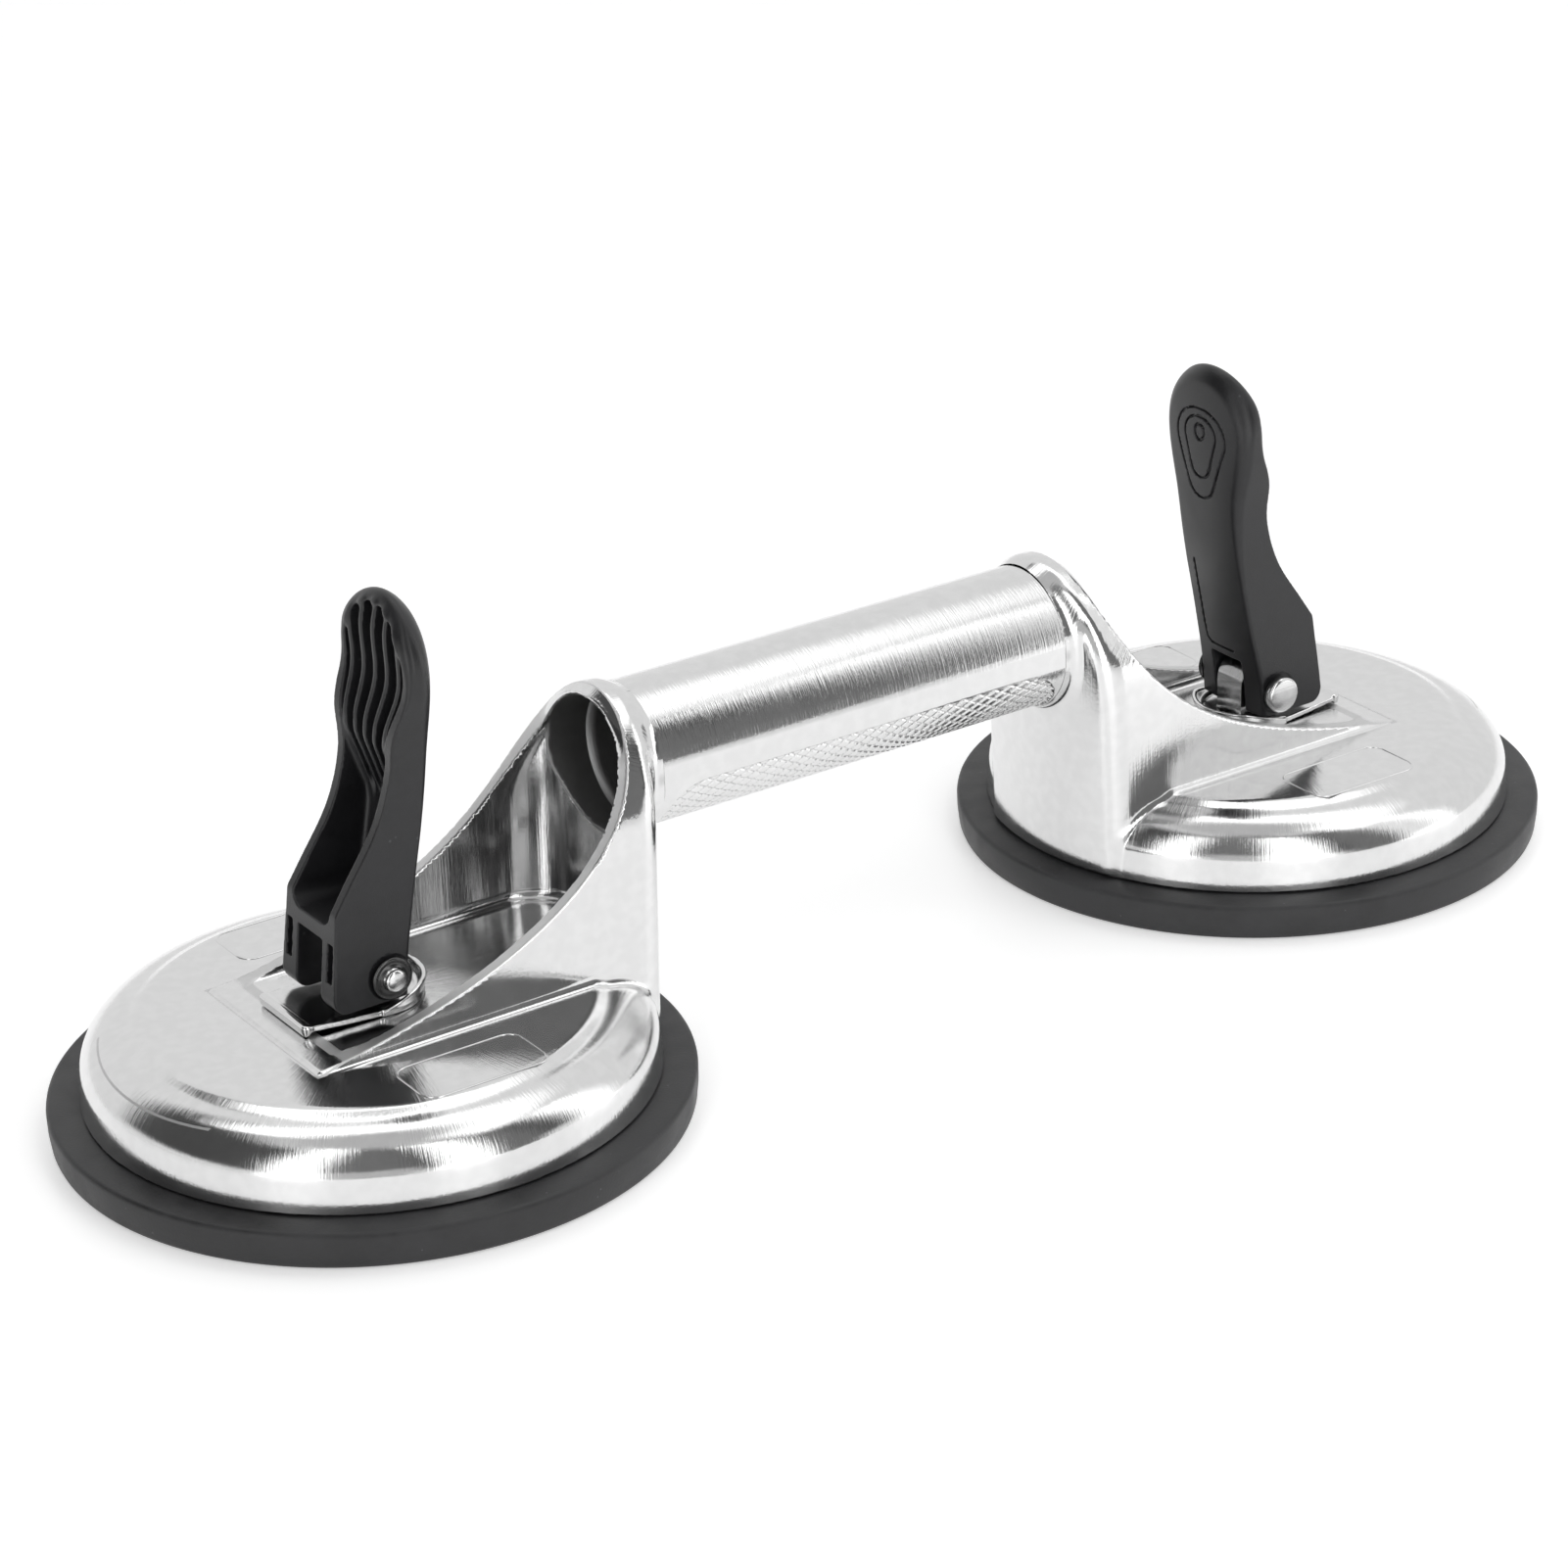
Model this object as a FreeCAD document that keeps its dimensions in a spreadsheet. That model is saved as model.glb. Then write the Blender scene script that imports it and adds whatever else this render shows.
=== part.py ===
"""Floor tile suction lifter: two suction cups joined by a hollow cast handle, one folding lever on each cup.

Frame: millimetres, +Z up, +X along the handle, origin at the middle of the footprint on the floor.
Each end is built about its own cup axis with the handle behind it at -X. The left end is the right end
turned half a turn about Z, so both levers fold outwards.
"""
import FreeCAD
import Part
import math
import os
import re
import Sketcher

V = FreeCAD.Vector
doc = FreeCAD.newDocument("SuctionLifter")

# ---------------------------------------------------------------- driving dimensions

SIZES = {
    # overall
    "cup_spacing": 208.0,
    "pad_radius": 60.0,
    # rubber pad
    "pad_height": 7.0,
    "pad_taper": 0.6,
    "pad_round": 0.5,
    "pad_lip_width": 7.0,
    "pad_hollow_depth": 1.0,
    "pad_web_gauge": 2.5,
    "pad_well_margin": 2.0,
    # cast cap over the pad
    "pad_margin": 6.4,
    "cap_height": 15.0,
    "cap_shoulder": 8.0,
    "cap_bevel": 1.2,
    "cap_wall": 4.0,
    "cap_roof": 6.0,
    # frame raised on the cap beside the lever
    "frame_length": 25.4,
    "frame_width": 13.6,
    "frame_corner": 3.0,
    "frame_line": 0.9,
    "frame_rise": 0.4,
    "frame_from_axis": 34.2,
    "frame_shift": 2.0,
    # cast scoop that rises from the cap and carries the handle
    "scoop_margin": 6.7,
    "scoop_back_stand": 0.6,
    "scoop_corner": 4.0,
    "scoop_wall": 2.1,
    "scoop_crest": 3.1,
    "scoop_crest_width": 2.0,
    "scoop_arch_rise": 32.3,
    "scoop_front_margin": 0.9,
    "scoop_inner_corner": 5.0,
    "bead_stand": 1.1,
    "bead_depth": 3.2,
    "pocket_depth": 2.0,
    # seat for the wear plate
    "seat_wall": 1.7,
    "seat_rise": 3.0,
    # handle
    "handle_radius": 14.3,
    "handle_wall": 2.3,
    "handle_rise": 32.9,
    "grip_margin": 1.8,
    "grip_depth": 0.35,
    "grip_drop": 2.3,
    # wear plate under the lever
    "plate_gauge": 1.3,
    "plate_reach": 5.6,
    "plate_lip_drop": 2.8,
    "plate_rim_rise": 3.2,
    "plate_rim_front": 5.3,
    # backing disc, stem and return spring
    "disc_radius": 38.0,
    "disc_gauge": 2.0,
    "stem_radius": 5.0,
    "blade_gauge": 7.6,
    "blade_half_width": 4.6,
    "blade_length": 14.1,
    "wire_radius": 0.7,
    "coil_top_radius": 8.0,
    "coil_base_radius": 13.0,
    "coil_turns": 3.0,
    # pivot
    "pivot_over_plate": 6.2,
    "pin_radius": 2.2,
    "pin_head_radius": 4.75,
    "pin_head_gauge": 1.9,
    "pin_head_round": 0.6,
    "pin_tail": 1.3,
    "washer_radius": 4.25,
    "washer_gauge": 0.8,
    # lever
    "lever_width": 20.0,
    "lever_reach": 71.2,
    "lever_sole": 4.9,
    "lever_toe": 12.0,
    "lever_toe_corner": 6.0,
    "fork_height": 9.5,
    "channel_wall": 2.6,
    "channel_base": 15.5,
    "channel_web": 2.6,
    "rib_gauge": 1.3,
    "rib_depth": 3.2,
    "slot_gauge": 2.2,
    "slot_base": 3.0,
    "slot_length": 8.0,
    "slot_depth": 5.0,
    # running clearances
    "pin_clearance": 0.05,
    "side_clearance": 0.3,
    "fork_clearance": 0.7,
    "stem_clearance": 0.53,
}

# Sizes and heights that follow from the ones above
FOLLOWING = {
    "cap_radius": "pad_radius - pad_margin",
    "cap_top": "pad_height + cap_height",
    "cavity_radius": "cap_radius - cap_wall",
    "cavity_roof": "cap_top - cap_roof",
    "pad_web_top": "pad_hollow_depth + pad_web_gauge",
    "disc_top": "pad_web_top + side_clearance + disc_gauge",
    "scoop_floor": "cap_top - pocket_depth",
    "seat_top": "scoop_floor + seat_rise",
    "plate_top": "seat_top + plate_gauge",
    "pivot_height": "plate_top + pivot_over_plate",
    "shank_top": "pivot_height - blade_length",
    "stem_hole_radius": "sqrt(blade_half_width ^ 2 + blade_gauge ^ 2 / 4) + stem_clearance",
    "seat_half_width": "stem_hole_radius + seat_wall",
    "handle_bore": "handle_radius - handle_wall",
    "handle_axis": "cap_top + handle_rise",
    "scoop_half_width": "handle_radius + scoop_margin",
    "scoop_back": "cap_radius + scoop_back_stand",
    "scoop_top": "handle_axis + handle_radius + scoop_crest",
    "scoop_arch_base": "scoop_top - scoop_arch_rise",
    "handle_length": "cup_spacing - 2 * scoop_back",
    "fork_gap": "blade_gauge + 2 * fork_clearance",
    "lever_half_width": "lever_width / 2",
    "plate_front": "lever_toe + plate_reach",
    "scoop_front": "plate_front + scoop_front_margin",
    "seat_front": "plate_front - plate_gauge - scoop_front_margin",
    "fork_face": "lever_half_width + side_clearance",
}

sheet = doc.addObject("Spreadsheet::Sheet", "Sizes")
cells = {**SIZES, **{alias: "=" + formula for alias, formula in FOLLOWING.items()}}
for row, (alias, content) in enumerate(cells.items(), start=1):
    sheet.set(f"A{row}", alias)
    sheet.set(f"B{row}", str(content))
    sheet.setAlias(f"B{row}", alias)
doc.recompute()


SPARE = 8.0  # how far a helper solid runs past what it trims
SKETCH_REACH = 25.0  # rough size of a sketch before its constraints take hold
RIB_COUNT = 4
COIL_STEPS = 8  # points on each turn of the return spring
SIDES = ("left", "right")


def size(alias):
    """The number in the sheet's cell of this name."""
    return float(sheet.get(alias))


def bind(target, **formulas):
    """Bind properties to the sheet; a formula uses the cells' plain names."""
    for prop, formula in formulas.items():
        text = re.sub(r"\b([a-z]+(?:_[a-z]+)+)\b", r"Sizes.\1", formula)
        target.setExpression(prop.replace("__", "."), text)
    return target


# ---------------------------------------------------------------- small building blocks

def cylinder(name, radius, height, base="0", axis="Z", centred=False, x="0", z="0"):
    """Cylinder along Z from base, or along X or Y; centred puts its middle on the origin."""
    solid = doc.addObject("Part::Cylinder", name)
    bind(solid, Radius=radius, Height=height)
    turn = {"Z": (V(0, 0, 1), 0), "X": (V(0, 1, 0), 90), "Y": (V(1, 0, 0), -90)}[axis]
    solid.Placement = FreeCAD.Placement(V(), FreeCAD.Rotation(*turn))
    start = f"-({height}) / 2" if centred else base
    place = {"X": x, "Y": "0", "Z": z}
    place[axis] = start
    for key in ("X", "Y", "Z"):
        bind(solid, **{f"Placement__Base__{key.lower()}": place[key]})
    return solid


def box(name, x0, x1, half_width, z0, z1, middle="0"):
    """Box from x0 to x1 and z0 to z1, half_width to each side of y = middle."""
    solid = doc.addObject("Part::Box", name)
    bind(solid, Length=f"({x1}) - ({x0})", Width=f"2 * ({half_width})", Height=f"({z1}) - ({z0})")
    bind(solid, Placement__Base__x=x0, Placement__Base__y=f"({middle}) - ({half_width})", Placement__Base__z=z0)
    return solid


def cut(name, base, *tools):
    """Base less its tools."""
    for number, tool in enumerate(tools):
        step = doc.addObject("Part::Cut", name if tool is tools[-1] else f"{name}_{number}")
        step.Base = base
        step.Tool = tool
        base = step
    return base


def fuse(name, *parts):
    """Union of parts."""
    union = doc.addObject("Part::MultiFuse", name)
    union.Shapes = list(parts)
    return union


def common(name, *parts):
    """What all the parts share."""
    shared = doc.addObject("Part::MultiCommon", name)
    shared.Shapes = list(parts)
    return shared


def feature(name, shape):
    """Free form that has no parametric primitive."""
    item = doc.addObject("Part::Feature", name)
    item.Shape = shape
    return item


def origin_plane(body, role):
    return [plane for plane in body.Origin.OriginFeatures if plane.Role == role][0]


def outline(body, name, role, corners):
    """Closed sketch of straight edges whose corners are bound to formulas."""
    sketch = body.newObject("Sketcher::SketchObject", name)
    sketch.AttachmentSupport = [(origin_plane(body, role), "")]
    sketch.MapMode = "FlatFace"
    count = len(corners)
    around = [V(SKETCH_REACH * (1 + math.cos(2 * math.pi * i / count)),
                SKETCH_REACH * (1 + math.sin(2 * math.pi * i / count)), 0) for i in range(count)]
    for i in range(count):
        sketch.addGeometry(Part.LineSegment(around[i], around[(i + 1) % count]), False)
    for i in range(count):
        sketch.addConstraint(Sketcher.Constraint("Coincident", i, 2, (i + 1) % count, 1))
    for i, corner in enumerate(corners):
        for kind, formula in zip(("DistanceX", "DistanceY"), corner):
            index = sketch.addConstraint(Sketcher.Constraint(kind, -1, 1, i, 1, 1.0))
            bind(sketch, **{f"Constraints[{index}]": formula})
    return sketch


def revolved(name, corners):
    """Body turned about Z from corners given as (radius, height) formulas."""
    body = doc.addObject("PartDesign::Body", name)
    sketch = outline(body, name + "_profile", "XZ_Plane", corners)
    turn = body.newObject("PartDesign::Revolution", name + "_turn")
    turn.Profile = sketch
    turn.ReferenceAxis = (sketch, ["V_Axis"])
    turn.Angle = 360
    doc.recompute()
    return body


def edges_where(shape, test):
    """Names of the edges whose ends and middle all pass the test."""
    names = []
    for number, edge in enumerate(shape.Edges, start=1):
        marks = [edge.valueAt(edge.FirstParameter + (edge.LastParameter - edge.FirstParameter) * part)
                 for part in (0.0, 0.37, 0.5, 0.81, 1.0)]
        if all(test(mark) for mark in marks):
            names.append(f"Edge{number}")
    return names


def rounded(name, base, radius, test):
    """Edges of a Part solid that pass the test, rounded."""
    doc.recompute()
    fillet = doc.addObject("Part::Fillet", name)
    fillet.Base = base
    fillet.Edges = [(int(edge[4:]), radius, radius) for edge in edges_where(base.Shape, test)]
    return fillet


def near(value, target, slack=0.01):
    return abs(value - target) < slack


# ---------------------------------------------------------------- casting

# Edge of the scoop in side view: (share of its depth back from the front, share of its height)
RIM_CURVE = ((0.0, 0.0), (0.387, 0.135), (0.650, 0.302), (0.829, 0.517), (0.943, 0.742), (1.0, 1.0))


def rim_line(drop=0.0):
    """Curve of the scoop's mouth from the cap's top up to the crest, moved in by drop."""
    depth = size("scoop_front") + size("scoop_back") - size("scoop_crest_width")
    height = size("scoop_top") - size("cap_top")
    points = [V(size("scoop_front") - depth * across - 0.64 * drop, 0, size("cap_top") + height * up - 0.77 * drop)
              for across, up in RIM_CURVE]
    curve = Part.BSplineCurve()
    curve.interpolate(points)
    return curve.toShape(), points


def side_prism(name, drop, bottom, widen=0.0):
    """Everything behind and under the scoop's mouth, wider than the scoop."""
    half_width = size("scoop_half_width") + SPARE + widen
    edge, points = rim_line(drop)
    front, crest = points[0], points[-1]
    back = -size("scoop_back") - SPARE
    top = crest.z + SPARE
    corners = [crest, V(crest.x, 0, top), V(back, 0, top), V(back, 0, bottom), V(front.x, 0, bottom), front]
    rest = [Part.makeLine(a, b) for a, b in zip(corners, corners[1:])]
    face = Part.Face(Part.Wire([edge] + rest))
    face.translate(V(0, -half_width, 0))
    return feature(name, face.extrude(V(0, 2 * half_width, 0)))


def arch(name, inset, floor):
    """Round-topped tunnel along X: straight walls to the arch base, half an ellipse above."""
    walls = box(name + "_walls", f"-scoop_back - {SPARE}", f"scoop_front + {SPARE}", f"scoop_half_width - ({inset})",
                floor, "scoop_arch_base")
    ellipse = doc.addObject("Part::Ellipse", name + "_ellipse")
    bind(ellipse, MajorRadius=f"scoop_top - scoop_arch_base - ({inset})",
         MinorRadius=f"scoop_half_width - ({inset})")
    ellipse.Placement = FreeCAD.Placement(V(), FreeCAD.Rotation(V(0, 1, 0), -90))
    bind(ellipse, Placement__Base__x=f"-scoop_back - {SPARE}", Placement__Base__z="scoop_arch_base")
    crown = doc.addObject("Part::Extrusion", name + "_crown")
    crown.Base = ellipse
    crown.DirMode = "Custom"
    crown.Dir = V(1, 0, 0)
    crown.Solid = True
    bind(crown, LengthFwd=f"scoop_back + scoop_front + 2 * {SPARE}")
    return fuse(name, walls, crown)


def plan_block(name, inset, corner, bottom, widen="0"):
    """Upright block with a round back that follows the cap, and rounded back corners."""
    top = f"scoop_top + {SPARE}"
    drum = cylinder(name + "_drum", f"scoop_back - ({inset})", f"{top} - ({bottom})", base=bottom)
    half_width = f"scoop_half_width + ({widen}) - ({inset})"
    slab = box(name + "_slab", f"-scoop_back - {SPARE}", "scoop_front", half_width, bottom, top)
    block = common(name + "_block", drum, slab)
    doc.recompute()
    side = block.Shape.BoundBox.YMax
    return rounded(name, block, size(corner), lambda mark: near(abs(mark.y), side) and mark.x < 0)


def cap_body(name):
    """Disc with a rolled shoulder and a small bevel at the rubber."""
    body = doc.addObject("PartDesign::Body", name)
    sketch = body.newObject("Sketcher::SketchObject", name + "_round")
    sketch.AttachmentSupport = [(origin_plane(body, "XY_Plane"), "")]
    sketch.MapMode = "FlatFace"
    sketch.addGeometry(Part.Circle(V(), V(0, 0, 1), SKETCH_REACH), False)
    sketch.addConstraint(Sketcher.Constraint("Coincident", 0, 3, -1, 1))
    index = sketch.addConstraint(Sketcher.Constraint("Radius", 0, SKETCH_REACH))
    bind(sketch, **{f"Constraints[{index}]": "cap_radius"})
    pad = body.newObject("PartDesign::Pad", name + "_pad")
    pad.Profile = sketch
    bind(pad, Length="cap_top - pad_height")
    doc.recompute()
    shoulder = body.newObject("PartDesign::Fillet", name + "_shoulder")
    shoulder.Base = (pad, edges_where(pad.Shape, lambda mark: mark.z > 1))
    bind(shoulder, Radius="cap_shoulder")
    doc.recompute()
    bevel = body.newObject("PartDesign::Chamfer", name + "_bevel")
    bevel.Base = (shoulder, edges_where(shoulder.Shape, lambda mark: near(mark.z, 0)))
    bind(bevel, Size="cap_bevel")
    bind(body, Placement__Base__z="pad_height")
    return body


def raised_frame(name, toward):
    """Thin raised rounded rectangle on the cap's flat top, beside the lever."""
    rings = []
    for label, inset, sink in (("outer", "0", "frame_rise"), ("inner", "frame_line", "2 * frame_rise")):
        half_length = f"frame_length / 2 - {inset}"
        block = box(f"{name}_{label}_block", f"-frame_shift - ({half_length})", f"-frame_shift + ({half_length})",
                    f"frame_width / 2 - {inset}", f"cap_top - {sink}", f"cap_top + {sink}",
                    middle=f"{toward} * frame_from_axis")
        doc.recompute()
        level = block.Shape.BoundBox
        corner = size("frame_corner") - (size("frame_line") if label == "inner" else 0)
        rings.append(rounded(f"{name}_{label}", block, corner,
                             lambda mark: (near(mark.x, level.XMin) or near(mark.x, level.XMax))
                             and (near(mark.y, level.YMin) or near(mark.y, level.YMax))))
    return cut(name, *rings)


def station(target, side):
    """Carry a piece from its own cup axis to the left or right end."""
    sign = {"left": "-", "right": ""}[side]
    target.Placement = FreeCAD.Placement(target.Placement.Base,
                                         FreeCAD.Rotation(V(0, 0, 1), 180 if side == "left" else 0)
                                         .multiply(target.Placement.Rotation))
    bind(target, Placement__Base__x=f"{sign}cup_spacing / 2")
    return target


def casting():
    """One casting: two caps, two scoops and the hollow handle between them."""
    solids, hollows, seats, holes = [], [], [], []
    for side in SIDES:
        cap = cap_body(side + "_cap")
        scoop = common(side + "_scoop",
                       plan_block(side + "_scoop_plan", "0", "scoop_corner", "pad_height + cap_bevel"),
                       arch(side + "_scoop_arch", "0", "pad_height"),
                       side_prism(side + "_scoop_side", 0.0, size("pad_height")))
        strip = cut(side + "_bead_strip",
                    side_prism(side + "_bead_out", 0.0, size("scoop_floor")),
                    side_prism(side + "_bead_in", size("bead_depth"), size("pad_height"), widen=1.0))
        bead = common(side + "_bead", strip,
                      plan_block(side + "_bead_plan", "0", "scoop_corner", "scoop_floor", widen="bead_stand"),
                      arch(side + "_bead_arch", "-bead_stand", "scoop_floor"))
        solids.append(station(fuse(side + "_end", cap, scoop, bead), side))
        hollows.append(station(common(side + "_hollow",
                                      plan_block(side + "_hollow_plan", "scoop_wall", "scoop_inner_corner",
                                                 "scoop_floor"),
                                      arch(side + "_hollow_arch", "scoop_wall", "scoop_floor")), side))
        hollows.append(station(cylinder(side + "_cavity", "cavity_radius", "cavity_roof", base="0"), side))
        seats.append(station(fuse(side + "_seat",
                                  box(side + "_seat_bar", "0", "seat_front", "seat_half_width",
                                      "scoop_floor - pocket_depth", "seat_top"),
                                  cylinder(side + "_seat_boss", "seat_half_width", "seat_rise + pocket_depth",
                                           base="scoop_floor - pocket_depth")), side))
        for mark, toward in (("near", "-1"), ("far", "1")):
            seats.append(station(raised_frame(f"{side}_{mark}_frame", toward), side))
        holes.append(station(cylinder(side + "_stem_hole", "stem_hole_radius", "pivot_height", base="0"), side))
    half_grip = "(handle_length / 2 - grip_margin)"
    tube = cylinder("handle_tube", "handle_radius", "handle_length + 4 * scoop_wall", axis="X", centred=True,
                    z="handle_axis")
    bore = cylinder("handle_core", "handle_bore", "handle_length + 2 * handle_bore", axis="X", centred=True,
                    z="handle_axis")
    grip = cut("grip_band",
               box("grip_block", f"-{half_grip}", half_grip, f"handle_radius + {SPARE}",
                   f"handle_axis - handle_radius - {SPARE}", "handle_axis - grip_drop"),
               cylinder("grip_core", "handle_radius - grip_depth", "handle_length", axis="X", centred=True,
                        z="handle_axis"))
    shell = fuse("casting_outside", *solids, tube)
    hollowed = cut("casting_hollowed", shell, *hollows, bore, grip)
    return cut("body_casting", fuse("casting_seated", hollowed, *seats), *holes)


# ---------------------------------------------------------------- rubber pad, disc, stem and spring

def rubber_pad(name):
    """Round pad: tapered edge, shallow hollow below, well above for the backing disc."""
    return revolved(name, [
        ("0", "pad_hollow_depth"),
        ("pad_radius - pad_lip_width - 3 * pad_hollow_depth", "pad_hollow_depth"),
        ("pad_radius - pad_lip_width", "0"),
        ("pad_radius - pad_taper", "0"),
        ("pad_radius", "pad_height - pad_round"),
        ("pad_radius - pad_round", "pad_height"),
        ("disc_radius + pad_well_margin", "pad_height"),
        ("disc_radius + pad_well_margin", "pad_web_top"),
        ("0", "pad_web_top"),
    ])


def backing_disc(name):
    return cylinder(name, "disc_radius", "disc_gauge", base="pad_web_top + side_clearance")


def pull_stem(name):
    """Round shank on the disc, flat blade above it with a round eye for the pivot pin."""
    shank = cylinder(name + "_shank", "stem_radius", "shank_top - disc_top", base="disc_top")
    blade = box(name + "_blade", "-blade_half_width", "blade_half_width", "blade_gauge / 2", "shank_top",
                "pivot_height")
    eye = cylinder(name + "_eye", "blade_half_width", "blade_gauge", axis="Y", centred=True, z="pivot_height")
    hole = cylinder(name + "_hole", "pin_radius + pin_clearance", "2 * blade_gauge", axis="Y", centred=True,
                    z="pivot_height")
    return cut(name, fuse(name + "_solid", shank, blade, eye), hole)


def return_spring(name):
    """Conical coil between the backing disc and the roof of the cap."""
    play = size("wire_radius") + size("side_clearance")
    low, high = size("disc_top") + play, size("cavity_roof") - play
    wide, narrow = size("coil_base_radius"), size("coil_top_radius")
    steps = round(COIL_STEPS * size("coil_turns"))
    points = []
    for step in range(steps + 1):
        share = step / steps
        radius = wide + (narrow - wide) * share
        angle = 2 * math.pi * size("coil_turns") * share
        points.append(V(radius * math.cos(angle), radius * math.sin(angle), low + (high - low) * share))
    path = Part.BSplineCurve()
    path.interpolate(points)
    start = path.tangent(path.FirstParameter)[0]
    wire = Part.Wire([Part.Circle(points[0], start, size("wire_radius")).toShape()])
    return feature(name, Part.Wire([path.toShape()]).makePipeShell([wire], True, True))


# ---------------------------------------------------------------- wear plate

def wear_plate(name):
    """Steel plate on the seat: round raised rim behind the stem, lip turned down in front."""
    flat = fuse(name + "_flat",
                box(name + "_tongue", "0", "plate_front", "lever_half_width", "seat_top", "plate_top"),
                cylinder(name + "_round", "lever_half_width", "plate_gauge", base="seat_top"))
    ring = cut(name + "_ring",
               cylinder(name + "_ring_out", "lever_half_width", "plate_gauge + plate_rim_rise", base="seat_top"),
               cylinder(name + "_ring_in", "lever_half_width - plate_gauge", "pivot_height", base="0"))
    rim = common(name + "_rim", ring,
                 box(name + "_rim_part", "-lever_width", "-plate_rim_front", "lever_width", "0", "pivot_height"))
    lip = box(name + "_lip", "plate_front - plate_gauge", "plate_front", "lever_half_width",
              "plate_top - plate_lip_drop", "plate_top")
    hole = cylinder(name + "_hole", "stem_hole_radius", "pivot_height", base="0")
    return cut(name, fuse(name + "_solid", flat, rim, lip), hole)


# ---------------------------------------------------------------- pivot

def pivot_pin(name):
    """Headed pin through the lever's fork and the stem's eye."""
    shank = cylinder(name + "_shank", "pin_radius", "2 * fork_face + washer_gauge + pin_tail", axis="Y",
                     base="-fork_face", z="pivot_height")
    blank = cylinder(name + "_blank", "pin_head_radius", "pin_head_gauge", axis="Y",
                     base="-fork_face - pin_head_gauge", z="pivot_height")
    doc.recompute()
    outer = blank.Shape.BoundBox.YMin
    head = rounded(name + "_head", blank, size("pin_head_round"), lambda mark: near(mark.y, outer))
    return fuse(name, shank, head)


def pin_washer(name):
    """Ring on the pin's peened end."""
    ring = cylinder(name + "_ring", "washer_radius", "washer_gauge", axis="Y", base="fork_face", z="pivot_height")
    hole = cylinder(name + "_hole", "pin_radius + pin_clearance", "2 * fork_face", axis="Y", base="0",
                    z="pivot_height")
    return cut(name, ring, hole)


# ---------------------------------------------------------------- lever

# Side view from the pivot, as shares of the toe's depth across and of the lever's reach up
KNEE = (0.82, 0.211)
BACK_EDGE = ((-0.28, -0.069), (-0.43, 0.087), (-0.62, 0.261), (-0.75, 0.435), (-0.91, 0.607),
             (-0.98, 0.719), (-1.02, 0.840))
TIP = ((-1.00, 0.913), (-0.93, 0.976), (-0.78, 1.0), (-0.63, 0.969), (-0.52, 0.910))
FRONT_EDGE = ((-0.38, 0.824), (-0.36, 0.733), (-0.24, 0.656), (-0.29, 0.576), (-0.17, 0.499), (0.25, 0.358),
              (0.72, 0.235))


def lever_points(shares, shift=0.0):
    """Shares turned into points of the XZ plane, moved outwards by shift."""
    return [V(size("lever_toe") * across + shift, 0, size("pivot_height") + size("lever_reach") * up)
            for across, up in shares]


def spline(points):
    curve = Part.BSplineCurve()
    curve.interpolate(points)
    return curve.toShape()


def thick(name, face, half_width):
    """Face of the XZ plane made as wide as needed, the same to both sides."""
    face.translate(V(0, -half_width, 0))
    return feature(name, face.extrude(V(0, 2 * half_width, 0)))


def lever_blank(name):
    """Side outline of the lever, the full width thick."""
    pivot, sole, toe = size("pivot_height"), size("lever_sole"), size("lever_toe")
    corner = size("lever_toe_corner")
    heel = V(lever_points(BACK_EDGE)[0].x, 0, pivot - sole)
    back = [heel] + lever_points(BACK_EDGE[1:])
    ridge = lever_points(FRONT_EDGE + (KNEE,))
    centre = V(toe - corner, 0, pivot - sole + corner)
    toe_top, toe_end = V(toe, 0, centre.z), V(centre.x, 0, pivot - sole)
    toe_mid = centre + V(corner, 0, -corner) * math.sqrt(0.5)
    edges = [spline(back + lever_points(TIP) + ridge[:-1]), Part.makeLine(ridge[-2], ridge[-1]),
             Part.makeLine(ridge[-1], toe_top), Part.Arc(toe_top, toe_mid, toe_end).toShape(),
             Part.makeLine(toe_end, heel)]
    return thick(name, Part.Face(Part.Wire(edges)), size("lever_half_width"))


def back_strip(name, start, end, low, high, half_width):
    """Layer that follows the lever's back between two depths and two heights above the pivot."""
    shares = [(BACK_EDGE[0][0] + 0.05, -0.2)] + list(BACK_EDGE) + [(BACK_EDGE[-1][0], 1.2)]
    inner, outer = (lever_points(shares, depth) for depth in (start, end))
    sides = [spline(inner), Part.makeLine(inner[-1], outer[-1]), spline(outer[::-1]),
             Part.makeLine(outer[0], inner[0])]
    layer = thick(name + "_layer", Part.Face(Part.Wire(sides)), half_width)
    band = box(name + "_band", "-lever_reach", "lever_reach", "lever_width", f"pivot_height + ({low})",
               f"pivot_height + ({high})")
    return common(name, layer, band)


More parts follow.
